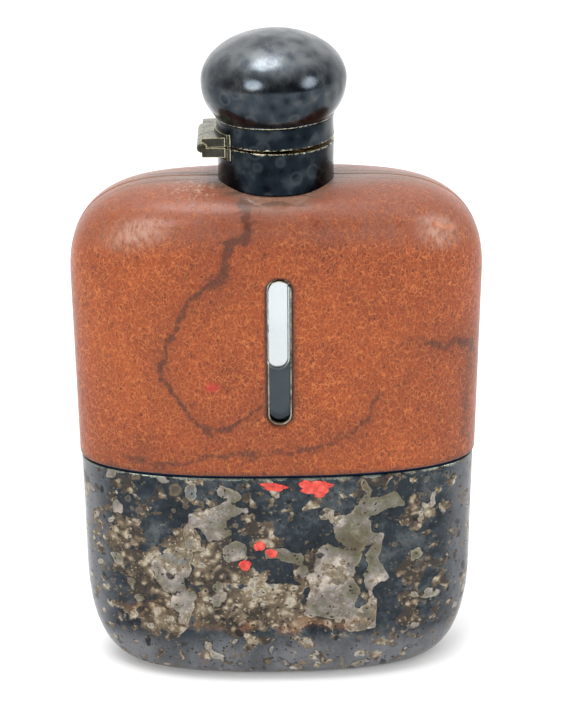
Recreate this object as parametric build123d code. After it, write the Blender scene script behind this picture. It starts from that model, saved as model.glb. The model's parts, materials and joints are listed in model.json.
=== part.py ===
"""Hip flask, in millimetres.

A flat glass bottle wears a leather cover on its upper half and a plated cup on its lower half.
A bun-shaped cap turns a quarter turn in a ring that is hinged to the collar on the bottle's neck.
The origin is the centre of the foot. +Z is up, the front faces -Y and the hinge is on the -X side.
"""

from build123d import *
import os
from functools import cache
from math import copysign, cos, pi, sin

# Overall form, measured over the leather.
WIDTH = 100.0
DEPTH = 36.6
SHOULDER_TOP = 131.5
PLAN_POWER = 2.45  # superellipse power of every level section
PLAN_POINTS = 32  # points that carry one level section

# Corner sweeps of the form: how far each reaches along its two directions, and its power.
SHOULDER_RUN = 29.0
SHOULDER_RISE = 25.0
SHOULDER_POWER = 2.6
SHOULDER_EDGE_RUN = 14.3  # front to back
SHOULDER_EDGE_RISE = 9.0
FOOT_RUN = 15.5
FOOT_RISE = 29.5
FOOT_POWER = 2.5
FOOT_EDGE_RUN = 7.6
FOOT_EDGE_RISE = 8.0
ROUND_POWER = 2.3
CORNER_STEPS = 12  # level sections in each rounded end
OVERSHOOT = 1.0  # how far a cutting body runs past what it cuts

# Leather, glass and cup walls, as insets from the overall form.
LEATHER = 1.4
GLASS_WALL = 2.6
GLASS_FOOT = 3.4
CUP_STEP = 0.3  # the cup lies this far inside the leather's face
CUP_WALL = 0.7
CUP_FLOOR = 0.7
CUP_RIM = 59.3  # height
LEATHER_EDGE = 60.0  # height of the leather's lower edge
GLASS_LIFT = CUP_FLOOR + 0.4  # height of the glass foot

# Slot in the leather, front and back, and the thin metal edging that lines it.
SLOT_LOW = 74.1
SLOT_HIGH = 111.3
SLOT_WIDTH = 5.6
SLOT_OFFSET = 0.4  # sideways from the middle
BEZEL_WALL = 0.35
BEZEL_PROUD = 0.12

# Neck.
COLLAR_RADIUS = 13.8
COLLAR_WALL = 0.8
COLLAR_FOOT = 130.2
COLLAR_TOP = 140.6
NECK_RADIUS = 11.6
BORE_RADIUS = 8.0
BORE_FOOT = 122.0  # well inside the bottle's shoulders
LIP_TOP = 136.4
LIP_ROUND = 0.9
SEAT_RADIUS = 17.0  # the shoulders rise in a cone to meet the collar
SEAT_FOOT = 125.8
SEAT_TOP_RADIUS = 14.7
SEAT_TOP = 130.7
CEMENT_FOOT = 127.0

# Bayonet.
FLANGE_HEIGHT = 0.8
FLANGE_BORE = 11.7
NOTCH_WIDTH = 5.6
BARREL_RADIUS = 11.0
BARREL_WALL = 1.0
BARREL_FOOT = 137.6
LUG_WIDTH = 4.0
LUG_HEIGHT = 1.0
LUG_REACH = 12.5
RETAINER_RADIUS = 12.2
RETAINER_HEIGHT = 1.2
CORK_RADIUS = 9.9
CORK_BEVEL = 0.3
CORK_SQUEEZE = 0.2  # how far the closed lid presses the cork onto the lip
CORK_FOOT = LIP_TOP - CORK_SQUEEZE
CORK_PLATE_FOOT = 140.0
CORK_PLATE_HEIGHT = 0.6

# Hinged ring and cap, given for the closed lid.
SPLIT_GAP = 0.1
RING_FOOT = COLLAR_TOP + SPLIT_GAP
RING_TOP = 145.8
PLATE_FOOT = 143.0  # bearing plate inside the ring
PLATE_HEIGHT = 1.0
TURN_CLEARANCE = 0.06
CAP_FOOT = RING_TOP + SPLIT_GAP
CAP_BASE_HEIGHT = 0.5
CAP_BASE_ROUND = 0.2
CAP_BASE_RADIUS = 14.1
CAP_RADIUS = 17.1
CAP_EQUATOR = 154.3
CAP_TOP = 165.7
CAP_LOWER_HEIGHT = 14.0  # half-height of the ellipse below the equator
CAP_WALL = 0.8
DOME_STEPS = 6  # points in each half of the bun's curve

# Hinge.
HINGE_X = -17.3
HINGE_Z = COLLAR_TOP + SPLIT_GAP / 2
LEAF_LENGTH = 16.8
LEAF_THICKNESS = 2.25
LEAF_CORNER = 0.35
SADDLE_WALL = 0.7
SADDLE_LENGTH = 17.8
SADDLE_HEIGHT = 3.0
KNUCKLES = 5
KNUCKLE_RADIUS = 1.15
KNUCKLE_GAP = 0.12
PIN_RADIUS = 0.55
PIN_CLEARANCE = 0.05
PIN_HEAD_RADIUS = 0.9
PIN_HEAD_HEIGHT = 0.35
PIN_HEAD_ROUND = 0.25
AJAR = 1.75  # degrees that the lid stands open while it rests on its cork


# ---------------------------------------------------------------- the flask's form


def sweep(share, power):
    """How far a rounded corner has come in, from 0 at its start to 1 at its end."""
    return 1 - (1 - min(share, 1.0) ** power) ** (1 / power)


def section_size(height):
    """Half width and half depth of the overall form at a height above the foot."""
    width = WIDTH / 2
    depth = DEPTH / 2
    above = height - (SHOULDER_TOP - SHOULDER_RISE)
    edge_above = height - (SHOULDER_TOP - SHOULDER_EDGE_RISE)
    if above > 0:
        width -= SHOULDER_RUN * sweep(above / SHOULDER_RISE, SHOULDER_POWER)
    if edge_above > 0:
        depth -= SHOULDER_EDGE_RUN * sweep(edge_above / SHOULDER_EDGE_RISE, ROUND_POWER)
    if height < FOOT_RISE:
        width -= FOOT_RUN * sweep(1 - height / FOOT_RISE, FOOT_POWER)
    if height < FOOT_EDGE_RISE:
        depth -= FOOT_EDGE_RUN * sweep(1 - height / FOOT_EDGE_RISE, ROUND_POWER)
    return width, depth


def corner_shares():
    """Heights in a rounded end, as shares of its rise: close together where it turns fastest."""
    return [(step / CORNER_STEPS) ** 2 for step in range(CORNER_STEPS + 1)]


def level_section(half_width, half_depth, height):
    """A flat-oval face: a superellipse drawn as one closed curve."""
    points = []
    for step in range(PLAN_POINTS):
        angle = 2 * pi * step / PLAN_POINTS
        across = copysign(abs(cos(angle)) ** (2 / PLAN_POWER), cos(angle))
        along = copysign(abs(sin(angle)) ** (2 / PLAN_POWER), sin(angle))
        points.append((half_width * across, half_depth * along, height))
    return Face(Wire(Spline(*points, periodic=True)))


@cache
def flask_form(inset, foot):
    """The flask's closed form, drawn in by inset at the sides and top, standing on foot."""
    width_share = 1 - 2 * inset / WIDTH
    depth_share = 1 - 2 * inset / DEPTH
    height_share = (SHOULDER_TOP - inset - foot) / SHOULDER_TOP

    def section(height):
        half_width, half_depth = section_size(height)
        return level_section(half_width * width_share, half_depth * depth_share, foot + height * height_share)

    straight = SHOULDER_TOP - SHOULDER_RISE - FOOT_RISE
    low_end = loft([section(FOOT_RISE * share) for share in corner_shares()])
    middle = extrude(section(FOOT_RISE), straight * height_share, dir=(0, 0, 1))
    high_end = loft([section(SHOULDER_TOP - SHOULDER_RISE * share) for share in reversed(corner_shares())])
    return low_end + middle + high_end


def neck_seat(inset):
    """The low cone by which the shoulders rise to the collar."""
    height = SEAT_TOP - SEAT_FOOT
    return Pos(0, 0, SEAT_FOOT - inset) * Cone(
        SEAT_RADIUS - inset, SEAT_TOP_RADIUS - inset, height, align=(Align.CENTER, Align.CENTER, Align.MIN)
    )


# ---------------------------------------------------------------- plain helpers


def disc(radius, low, high):
    """A solid cylinder on the neck's axis between two heights."""
    return Pos(0, 0, low) * Cylinder(radius, high - low, align=(Align.CENTER, Align.CENTER, Align.MIN))


def tube(outer, inner, low, high):
    """A ring on the neck's axis between two heights."""
    return disc(outer, low, high) - disc(inner, low - OVERSHOOT, high + OVERSHOOT)


def cross_bar(width, low, high):
    """A bar across the neck, from front to back, that runs past two heights."""
    return Pos(0, 0, (low + high) / 2) * Box(width, 2 * COLLAR_RADIUS, high - low + 2 * OVERSHOOT)


def slab(low, high):
    """Everything between two heights, wider than the flask."""
    return Pos(0, 0, (low + high) / 2) * Box(2 * WIDTH, 2 * DEPTH, high - low)


def half_space(side):
    """Everything on the front (-1) or the back (+1) of the flask."""
    return Pos(0, side * DEPTH, SHOULDER_TOP / 2) * Box(2 * WIDTH, 2 * DEPTH, 2 * SHOULDER_TOP)


def slot_bar(shrink):
    """A bar with rounded ends that runs through the flask at the slots, drawn in by shrink."""
    profile = Plane.XZ * Pos(SLOT_OFFSET, (SLOT_LOW + SLOT_HIGH) / 2) * Rot(0, 0, 90) * SlotOverall(
        SLOT_HIGH - SLOT_LOW - 2 * shrink, SLOT_WIDTH - 2 * shrink
    )
    return extrude(profile, DEPTH, both=True)


def ajar(piece):
    """A piece of the closed lid, swung to where it rests on its cork."""
    return piece.rotate(Axis((HINGE_X, 0, HINGE_Z), (0, -1, 0)), AJAR)


# ---------------------------------------------------------------- bottle and cover


def make_glass_bottle():
    outer = flask_form(LEATHER, GLASS_LIFT) + neck_seat(LEATHER)
    outer += disc(NECK_RADIUS, SEAT_FOOT, LIP_TOP)
    lip = outer.edges().filter_by(GeomType.CIRCLE).sort_by(Axis.Z)[-1]
    outer = fillet(lip, LIP_ROUND)
    bottle = outer - flask_form(LEATHER + GLASS_WALL, GLASS_LIFT + GLASS_FOOT)
    return bottle - disc(BORE_RADIUS, BORE_FOOT, LIP_TOP + OVERSHOOT)


def make_leather_shell():
    shell = flask_form(0, 0) + neck_seat(0)
    shell -= flask_form(LEATHER, GLASS_LIFT) + neck_seat(LEATHER)
    shell -= slab(-OVERSHOOT, LEATHER_EDGE)
    shell -= disc(COLLAR_RADIUS, BORE_FOOT, SHOULDER_TOP + OVERSHOOT)
    return shell - slot_bar(0)


def make_slot_bezel(side):
    band = (slot_bar(0) - slot_bar(BEZEL_WALL)) & half_space(side)
    proud = flask_form(-BEZEL_PROUD, 0)
    return (band & proud) - flask_form(LEATHER, GLASS_LIFT)


def make_cup_shell():
    shell = flask_form(CUP_STEP, 0) - flask_form(CUP_STEP + CUP_WALL, CUP_FLOOR)
    return shell - slab(CUP_RIM, SHOULDER_TOP + OVERSHOOT)


# ---------------------------------------------------------------- neck


def make_neck_cement():
    ring = tube(COLLAR_RADIUS - COLLAR_WALL, NECK_RADIUS, CEMENT_FOOT, LIP_TOP - LIP_ROUND)
    return ring - flask_form(LEATHER, GLASS_LIFT) - neck_seat(LEATHER)


def make_neck_collar():
    return tube(COLLAR_RADIUS, COLLAR_RADIUS - COLLAR_WALL, COLLAR_FOOT, COLLAR_TOP)


def make_bayonet_flange():
    low = COLLAR_TOP - FLANGE_HEIGHT
    flange = tube(COLLAR_RADIUS - COLLAR_WALL, FLANGE_BORE, low, COLLAR_TOP)
    return flange - cross_bar(NOTCH_WIDTH, low, COLLAR_TOP)


# ---------------------------------------------------------------- hinge


def saddle(low):
    """A strip that follows the neck behind a hinge leaf."""
    strip = tube(COLLAR_RADIUS + SADDLE_WALL, COLLAR_RADIUS, low, low + SADDLE_HEIGHT)
    hinge_side = Pos(-COLLAR_RADIUS, 0, low) * Box(2 * COLLAR_RADIUS, SADDLE_LENGTH, 4 * SADDLE_HEIGHT)
    return strip & hinge_side


def hinge_rod(radius, start, end):
    """A cylinder on the hinge axis between two places along Y."""
    rod = Cylinder(radius, end - start, align=(Align.CENTER, Align.CENTER, Align.MIN))
    return Pos(HINGE_X, start, HINGE_Z) * Rot(-90, 0, 0) * rod


def knuckle_span(index, widen):
    """Where a knuckle starts and ends along Y, widened at both ends."""
    pitch = LEAF_LENGTH / KNUCKLES
    start = -LEAF_LENGTH / 2 + index * pitch
    return start + KNUCKLE_GAP / 2 - widen, start + pitch - KNUCKLE_GAP / 2 + widen


def hinge_leaf(low, own, pin_bore):
    """A leaf block with its own knuckles, and pockets for the other leaf's."""
    length = -HINGE_X
    block = Pos(HINGE_X + length / 2, 0, low + LEAF_THICKNESS / 2) * Box(length, LEAF_LENGTH, LEAF_THICKNESS)
    outer_edges = block.edges().filter_by(Axis.Y).group_by(Axis.X)[0]
    far_from_split = outer_edges.sort_by(lambda edge: -abs(edge.center().Z - HINGE_Z))[0]
    block = fillet(far_from_split, LEAF_CORNER)
    block -= disc(COLLAR_RADIUS + SADDLE_WALL, low - OVERSHOOT, low + LEAF_THICKNESS + OVERSHOOT)
    for index in range(KNUCKLES):
        if index not in own:
            block -= hinge_rod(KNUCKLE_RADIUS + KNUCKLE_GAP, *knuckle_span(index, KNUCKLE_GAP))
    for index in own:
        block += hinge_rod(KNUCKLE_RADIUS, *knuckle_span(index, 0))
    return block - hinge_rod(pin_bore, -LEAF_LENGTH, LEAF_LENGTH)


def make_hinge_pin():
    """The pin, with a domed rivet head on each end."""
    half = LEAF_LENGTH / 2
    pin = hinge_rod(PIN_RADIUS, -half, half)
    for side in (-1, 1):
        inner, outer = sorted((side * half, side * (half + PIN_HEAD_HEIGHT)))
        head = hinge_rod(PIN_HEAD_RADIUS, inner, outer)
        rim = head.edges().filter_by(GeomType.CIRCLE).sort_by(Axis.Y)[-1 if side > 0 else 0]
        pin += fillet(rim, PIN_HEAD_ROUND)
    return pin


# ---------------------------------------------------------------- hinged ring and cap


def make_hinged_ring():
    return tube(COLLAR_RADIUS, COLLAR_RADIUS - COLLAR_WALL, RING_FOOT, RING_TOP)


def make_bearing_plate():
    bore = BARREL_RADIUS + TURN_CLEARANCE
    return tube(COLLAR_RADIUS - COLLAR_WALL, bore, PLATE_FOOT, PLATE_FOOT + PLATE_HEIGHT)


def dome_curve(inset):
    """Half of the bun's upright section, from its level cut up to its top, drawn in by inset."""
    radius = CAP_RADIUS - inset
    floor = CAP_FOOT + CAP_BASE_HEIGHT
    lower = CAP_LOWER_HEIGHT - inset
    points = []
    for step in range(DOME_STEPS):
        height = (floor - CAP_EQUATOR) * (1 - step / DOME_STEPS)
        points.append((radius * (1 - (height / lower) ** 2) ** 0.5, CAP_EQUATOR + height))
    for step in range(DOME_STEPS + 1):
        angle = pi / 2 * step / DOME_STEPS
        rise = (CAP_TOP - CAP_EQUATOR - inset) * sin(angle)
        points.append((radius * cos(angle), CAP_EQUATOR + rise))
    points[-1] = (0.0, CAP_TOP - inset)
    return points


def make_cap_dome():
    outer = dome_curve(0)
    inner = dome_curve(CAP_WALL)
    outline = [
        Spline(*outer),
        Line(outer[-1], inner[-1]),
        Spline(*inner),
        Line(inner[0], outer[0]),
    ]
    return revolve(Plane.XZ * Face(Wire(outline)), Axis.Z)


def make_cap_base_plate():
    plate = tube(CAP_BASE_RADIUS, BARREL_RADIUS - BARREL_WALL, CAP_FOOT, CAP_FOOT + CAP_BASE_HEIGHT)
    rim = plate.edges().filter_by(GeomType.CIRCLE).group_by(SortBy.RADIUS)[-1]
    return fillet(rim, CAP_BASE_ROUND)


def make_bayonet_barrel():
    return tube(BARREL_RADIUS, BARREL_RADIUS - BARREL_WALL, BARREL_FOOT, CAP_FOOT)


def make_bayonet_lugs():
    """Two lugs on opposite sides of the barrel, front and back while the cap is unlocked."""
    top = BARREL_FOOT + LUG_HEIGHT
    return tube(LUG_REACH, BARREL_RADIUS, BARREL_FOOT, top) & cross_bar(LUG_WIDTH, BARREL_FOOT, top)


def make_barrel_retainer():
    top = PLATE_FOOT - 2 * TURN_CLEARANCE
    return tube(RETAINER_RADIUS, BARREL_RADIUS, top - RETAINER_HEIGHT, top)


def make_cork_plate():
    return disc(BARREL_RADIUS - BARREL_WALL, CORK_PLATE_FOOT, CORK_PLATE_FOOT + CORK_PLATE_HEIGHT)


def make_cork_seal():
    cork = disc(CORK_RADIUS, CORK_FOOT, CORK_PLATE_FOOT)
    return chamfer(cork.edges().sort_by(Axis.Z)[0], CORK_BEVEL)


# ---------------------------------------------------------------- assembly


def make_pieces():
    """Every piece by name, where it rests with the lid ajar and the bayonet unlocked."""
    leather = make_leather_shell()
    odd = range(1, KNUCKLES, 2)
    even = range(0, KNUCKLES, 2)
    fixed = {
        "glass_bottle": make_glass_bottle(),
        "leather_front": leather & half_space(-1),
        "leather_back": leather & half_space(1),
        "slot_bezel_front": make_slot_bezel(-1),
        "slot_bezel_back": make_slot_bezel(1),
        "neck_cement": make_neck_cement(),
        "neck_collar": make_neck_collar(),
        "bayonet_flange": make_bayonet_flange(),
        "collar_saddle": saddle(COLLAR_TOP - SADDLE_HEIGHT),
        "lower_hinge_leaf": hinge_leaf(COLLAR_TOP - LEAF_THICKNESS, even, PIN_RADIUS),
        "hinge_pin": make_hinge_pin(),
        "cup_shell": make_cup_shell(),
    }
    lid = {
        "hinged_ring": make_hinged_ring(),
        "ring_bearing_plate": make_bearing_plate(),
        "ring_saddle": saddle(RING_FOOT),
        "upper_hinge_leaf": hinge_leaf(RING_FOOT, odd, PIN_RADIUS + PIN_CLEARANCE),
        "cap_dome": make_cap_dome(),
        "cap_base_plate": make_cap_base_plate(),
        "bayonet_barrel": make_bayonet_barrel(),
        "bayonet_lugs": make_bayonet_lugs(),
        "barrel_retainer": make_barrel_retainer(),
        "cork_plate": make_cork_plate(),
        "cork_seal": make_cork_seal(),
    }
    return fixed | {name: ajar(piece) for name, piece in lid.items()}


def write_parts():
    os.makedirs("parts", exist_ok=True)
    for name, piece in make_pieces().items():
        piece.label = name
        export_step(piece, f"parts/{name}.step")


write_parts()
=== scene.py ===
import json
from math import cos, dist, pi, radians, sin

import bmesh
import bpy
import numpy as np
from mathutils import Matrix, Vector


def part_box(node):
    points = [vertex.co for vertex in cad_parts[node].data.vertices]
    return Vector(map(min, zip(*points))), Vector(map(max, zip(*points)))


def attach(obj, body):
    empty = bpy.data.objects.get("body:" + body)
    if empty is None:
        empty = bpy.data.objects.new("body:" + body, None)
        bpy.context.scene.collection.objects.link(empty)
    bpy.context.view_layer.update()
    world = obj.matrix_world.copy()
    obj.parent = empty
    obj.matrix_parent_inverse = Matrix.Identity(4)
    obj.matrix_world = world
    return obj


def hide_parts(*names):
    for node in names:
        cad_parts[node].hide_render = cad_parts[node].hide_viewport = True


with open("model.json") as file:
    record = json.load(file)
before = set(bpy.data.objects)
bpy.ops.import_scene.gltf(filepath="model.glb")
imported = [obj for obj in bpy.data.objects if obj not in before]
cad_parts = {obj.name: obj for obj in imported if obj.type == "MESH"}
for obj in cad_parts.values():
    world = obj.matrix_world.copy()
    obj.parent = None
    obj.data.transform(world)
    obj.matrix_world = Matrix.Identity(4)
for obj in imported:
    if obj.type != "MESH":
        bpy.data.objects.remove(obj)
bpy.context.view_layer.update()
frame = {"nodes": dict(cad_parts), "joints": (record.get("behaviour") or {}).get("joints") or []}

# An antique hip flask: glass bottle, leather cover with a sight slot, tarnished cup and hinged bun cap.
# Shapes are in millimetres in the row frame, and turn into metres when a mesh is made.

MM = 0.001


def node_box(name):
    """A CAD node's lowest and highest corners, in millimetres."""
    return [np.array(corner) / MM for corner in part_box(name)]


# ---- sizes

TOP = node_box("leather_back")[1][2]
COVER_EDGE = node_box("leather_front")[0][2]
LIP_TOP = node_box("glass_bottle")[1][2]
CUP_RIM = node_box("cup_shell")[1][2]
(_, _, COLLAR_FOOT), (COLLAR_RADIUS, _, COLLAR_TOP) = node_box("neck_collar")

HALF_WIDTH = 50.0
HALF_DEPTH = 18.3

# The form's rounded ends, as in the CAD model: reach inwards, reach in height, superellipse power.
PLAN_POWER = 2.45
SHOULDER_WIDTH_SWEEP = (29.0, 25.0, 2.6)
SHOULDER_DEPTH_SWEEP = (14.3, 9.0, 2.3)
FOOT_WIDTH_SWEEP = (15.5, 29.5, 2.5)
FOOT_DEPTH_SWEEP = (7.6, 8.0, 2.3)
SHOULDER_START = TOP - SHOULDER_WIDTH_SWEEP[1]
FOOT_END = FOOT_WIDTH_SWEEP[1]
SHOULDER_TURN = TOP - SHOULDER_DEPTH_SWEEP[1]  # above this and below BASE_TURN the faces turn over too
BASE_TURN = FOOT_DEPTH_SWEEP[1]

# The soft cone by which the shoulders meet the collar.
SEAT_TOP = 130.4
SEAT_RADIUS = 14.6
SEAT_SLOPE = 2.1
SEAT_BLEND = 0.8

LEATHER = 1.4
GLASS_WALL = 2.6
GLASS_FOOT = 3.4
GLASS_LIFT = 1.1
CUP_STEP = 0.3
CUP_WALL = 0.7
CUP_FLOOR = 0.7

NECK_RADIUS = 11.6
BORE_RADIUS = 8.0
LIP_ROUND = 1.0
COLLAR_WALL = 0.8
RING_FOOT = COLLAR_TOP + 0.1
RING_TOP = 145.8
CAP_FOOT = 145.9
BASE_HEIGHT = 0.5
BASE_RADIUS = 14.1
BASE_BORE = 10.0
CAP_RADIUS = 17.1
EQUATOR = 154.3
CAP_TOP = 165.7
LOWER_HEIGHT = 14.0  # half-height of the ellipse below the bun's equator
CAP_WALL = 0.8
CORK_RADIUS = 9.9
CORK_FOOT = LIP_TOP - 0.2
CORK_TOP = 140.0

JOINTS = {joint["name"]: joint for joint in frame["joints"]}


# ---- the flask's form


def sweep(share, power):
    """How far a rounded corner has come in, from 0 at its start to 1 at its end."""
    share = np.clip(share, 0, 1)
    return 1 - (1 - share**power) ** (1 / power)


def form_size(height):
    """Half width and half depth of the form at a height above the foot."""
    height = np.asarray(height, float)
    sizes = []
    for full, shoulder, foot in (
        (HALF_WIDTH, SHOULDER_WIDTH_SWEEP, FOOT_WIDTH_SWEEP),
        (HALF_DEPTH, SHOULDER_DEPTH_SWEEP, FOOT_DEPTH_SWEEP),
    ):
        above = shoulder[0] * sweep((height - TOP + shoulder[1]) / shoulder[1], shoulder[2])
        below = foot[0] * sweep(1 - height / foot[1], foot[2])
        sizes.append(full - above - below)
    return sizes


def plan_points(angles):
    """The level section of the form as multiples of its half width and half depth."""
    across = np.sign(np.cos(angles)) * np.abs(np.cos(angles)) ** (2 / PLAN_POWER)
    along = np.sign(np.sin(angles)) * np.abs(np.sin(angles)) ** (2 / PLAN_POWER)
    return across, along


def even_angles(count, start, end):
    """Section angles from start to end that lie evenly along the full section's outline."""
    fine = np.linspace(start, end, 4001)
    across, along = plan_points(fine)
    steps = np.hypot(np.diff(HALF_WIDTH * across), np.diff(HALF_DEPTH * along))
    length = np.concatenate([[0], np.cumsum(steps)])
    return np.interp(np.linspace(0, length[-1], count), length, fine)


def end_height(x, y, upper):
    """Height of the form's rounded upper or lower end over a point of its plan, by halving."""
    inside = np.full_like(x, SHOULDER_START if upper else FOOT_END)
    outside = np.full_like(x, TOP if upper else 0.0)
    for _ in range(40):
        middle = (inside + outside) / 2
        width, depth = form_size(middle)
        within = np.abs(x / width) ** PLAN_POWER + np.abs(y / depth) ** PLAN_POWER < 1
        inside = np.where(within, middle, inside)
        outside = np.where(within, outside, middle)
    return (inside + outside) / 2


def face_depth(x, z):
    """Half depth of the form at a place on its front."""
    width, depth = form_size(z)
    return depth * (1 - np.abs(x / width) ** PLAN_POWER) ** (1 / PLAN_POWER)


def depth_inside(places):
    """How far each place on a wall lies inside the form, measured towards the neck's axis."""
    width, depth = form_size(np.clip(places[:, 2], 0, TOP - 1))
    reach = np.abs(places[:, 0] / width) ** PLAN_POWER + np.abs(places[:, 1] / depth) ** PLAN_POWER
    return np.hypot(places[:, 0], places[:, 1]) * (reach ** (-1 / PLAN_POWER) - 1)


class Form:
    """The flask's form drawn in by inset, standing on foot."""

    def __init__(self, inset, foot, angles):
        self.scale = np.array([1 - inset / HALF_WIDTH, 1 - inset / HALF_DEPTH, (TOP - inset - foot) / TOP])
        self.foot = foot
        self.inset = inset
        self.angles = angles

    def place(self, x, y, height):
        """Points of the full form, moved to this one."""
        x, y, height = np.broadcast_arrays(x, y, height)
        points = np.stack([x, y, height], -1) * self.scale
        points[..., 2] += self.foot
        return points

    def ring(self, height):
        """The level section whose height is given in this form."""
        full = (height - self.foot) / self.scale[2]
        width, depth = form_size(full)
        across, along = plan_points(self.angles)
        return self.place(width * across, depth * along, full)

    def wall(self, low, high, rows):
        """Rings up the wall between two heights."""
        return [self.ring(height) for height in np.linspace(low, high, rows)]

    def wall_span(self):
        """The heights between which the form is steep on every side."""
        return self.foot + BASE_TURN * self.scale[2], self.foot + SHOULDER_TURN * self.scale[2]

    def shoulder(self, radius, rows, seat=True):
        """Rings from the top of the wall in to a circle on the neck's axis."""
        return self.end_rings(radius, rows, True, seat)

    def base(self, rows):
        """Rings from the centre of the foot out to the bottom of the wall."""
        return self.end_rings(0.5, rows, False, False)[::-1]

    def end_rings(self, radius, rows, upper, seat):
        """Rings over a rounded end, from the wall in to a circle of the given radius."""
        across, along = plan_points(self.angles)
        inner = radius * np.stack([np.cos(self.angles), np.sin(self.angles)]) / self.scale[:2, None]
        width, depth = form_size(SHOULDER_TURN if upper else BASE_TURN)
        outer = np.stack([width * across, depth * along])
        rings = []
        for share in np.linspace(0, 1, rows)[1:] ** 2.0:
            x, y = outer + (inner - outer) * share
            points = self.place(x, y, end_height(x, y, upper))
            if seat:
                points[:, 2] = self.seated(points)
            rings.append(points)
        return rings

    def seated(self, points):
        """Heights raised by the cone round the collar."""
        radius = np.hypot(points[:, 0], points[:, 1])
        cone = SEAT_TOP - self.inset - np.maximum(radius + self.inset - SEAT_RADIUS, 0) * SEAT_SLOPE
        gap = np.clip(0.5 + (cone - points[:, 2]) / (2 * SEAT_BLEND), 0, 1)
        return points[:, 2] * (1 - gap) + cone * gap + SEAT_BLEND * gap * (1 - gap)


# ---- meshes


def new_object(name, points, faces):
    mesh = bpy.data.meshes.new(name)
    mesh.from_pydata((np.asarray(points) * MM).tolist(), [], faces)
    mesh.validate()
    obj = bpy.data.objects.new(name, mesh)
    bpy.context.scene.collection.objects.link(obj)
    for polygon in mesh.polygons:
        polygon.use_smooth = True
    return obj


def skin_faces(rows, columns, around, lengthwise=False, offset=0):
    """Quads between neighbouring rings; around closes each ring, lengthwise joins the last to the first."""
    faces = []
    for row in range(rows if lengthwise else rows - 1):
        below = offset + row * columns
        above = offset + (row + 1) % rows * columns
        for column in range(columns if around else columns - 1):
            after = (column + 1) % columns
            faces.append((below + column, below + after, above + after, above + column))
    return faces


def end_faces(first, last, columns):
    """The faces that close a skin's first and last rings."""
    return [tuple(first + i for i in reversed(range(columns))), tuple(last + i for i in range(columns))]


def closed_skin(name, rings, lengthwise=False):
    """A closed mesh over closed rings, whose two ends are closed by faces or joined to each other."""
    columns = len(rings[0])
    points = np.concatenate(rings)
    faces = skin_faces(len(rings), columns, True, lengthwise)
    if not lengthwise:
        faces += end_faces(0, len(points) - columns, columns)
    return tidy_normals(new_object(name, points, faces))


def tidy_normals(obj):
    """Makes a closed mesh's faces look outwards."""
    shape = bmesh.new()
    shape.from_mesh(obj.data)
    bmesh.ops.remove_doubles(shape, verts=shape.verts, dist=1e-7)
    bmesh.ops.recalc_face_normals(shape, faces=shape.faces)
    shape.to_mesh(obj.data)
    shape.free()
    return obj


def sharpen(obj, degrees):
    """Smooth shading that keeps edges sharper than the given angle."""
    shape = bmesh.new()
    shape.from_mesh(obj.data)
    for edge in shape.edges:
        if len(edge.link_faces) == 2:
            edge.smooth = edge.calc_face_angle(0) < radians(degrees)
    shape.to_mesh(obj.data)
    shape.free()
    return obj


def cut(obj, tool):
    """Takes the closed mesh tool out of obj, and removes the tool."""
    modifier = obj.modifiers.new("cut", "BOOLEAN")
    modifier.operation = "DIFFERENCE"
    modifier.solver = "EXACT"
    modifier.object = tool
    bpy.context.view_layer.update()
    graph = bpy.context.evaluated_depsgraph_get()
    mesh = bpy.data.meshes.new_from_object(obj.evaluated_get(graph), depsgraph=graph)
    obj.modifiers.remove(modifier)
    obj.data = mesh
    bpy.data.objects.remove(tool)
    return obj


def put_values(obj, **values):
    """Stores numbers per vertex, under the names that the material reads."""
    for name, numbers in values.items():
        layer = obj.data.attributes.new(name, "FLOAT", "POINT")
        layer.data.foreach_set("value", np.asarray(numbers, np.float32))


def vertex_places(obj):
    """An object's vertices as an array, in millimetres."""
    places = np.zeros(len(obj.data.vertices) * 3)
    obj.data.vertices.foreach_get("co", places)
    return places.reshape(-1, 3) / MM


def move_vertices(obj, places):
    obj.data.vertices.foreach_set("co", (places * MM).ravel())
    obj.data.update()


def outward(places, scale):
    """Level unit vectors from the neck's axis, over places scaled along each axis."""
    away = places * scale
    return away / np.maximum(np.linalg.norm(away, axis=1), 1e-6)[:, None]


def circle_ring(radius, height, angles):
    return np.stack([radius * np.cos(angles), radius * np.sin(angles), np.full_like(angles, height)], -1)


def ajar(obj):
    """Swings a piece of the closed lid to where it rests, as the CAD lid does."""
    axis = JOINTS["cap_twist"]["axis"]
    hinge = JOINTS["lid_hinge"]
    pivot = Matrix.Translation(Vector(hinge["pos_m"]))
    turn = Matrix.Rotation(np.arctan2(-axis[0], axis[2]), 4, Vector(hinge["axis"]))
    obj.data.transform(pivot @ turn @ pivot.inverted())
    return obj


def soft_noise(places, size, seed):
    """Smooth values about -1 to 1 that change over size, from a few crossed waves."""
    random = np.random.default_rng(seed)
    total = np.zeros(len(places))
    for _ in range(9):
        direction = random.normal(size=3)
        direction *= 2 * pi / size / np.linalg.norm(direction)
        total += np.sin(places @ direction * random.uniform(0.6, 1.6) + random.uniform(0, 2 * pi))
    return total / 3.5


def noise_pair(places, size, seed):
    return np.stack([soft_noise(places, size, seed), soft_noise(places, size, seed + 1)], -1)


def smoothstep(low, high, value):
    share = np.clip((value - low) / (high - low), 0, 1)
    return share * share * (3 - 2 * share)


def bell(value, width):
    """1 where value is 0, and falling away smoothly over width."""
    return np.exp(-((value / width) ** 2))


def curve_points(knots, steps):
    """A smooth open line through a few points (Catmull-Rom)."""
    knots = np.array([knots[0], *knots, knots[-1]], float)
    line = []
    for before, start, end, after in zip(knots[:-3], knots[1:-2], knots[2:-1], knots[3:], strict=True):
        for t in np.linspace(0, 1, steps, endpoint=False):
            line.append(
                0.5 * (2 * start + (end - before) * t + (2 * before - 5 * start + 4 * end - after) * t**2
                       + (3 * start - before - 3 * end + after) * t**3)
            )
    line.append(knots[-2])
    return np.array(line)


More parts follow.
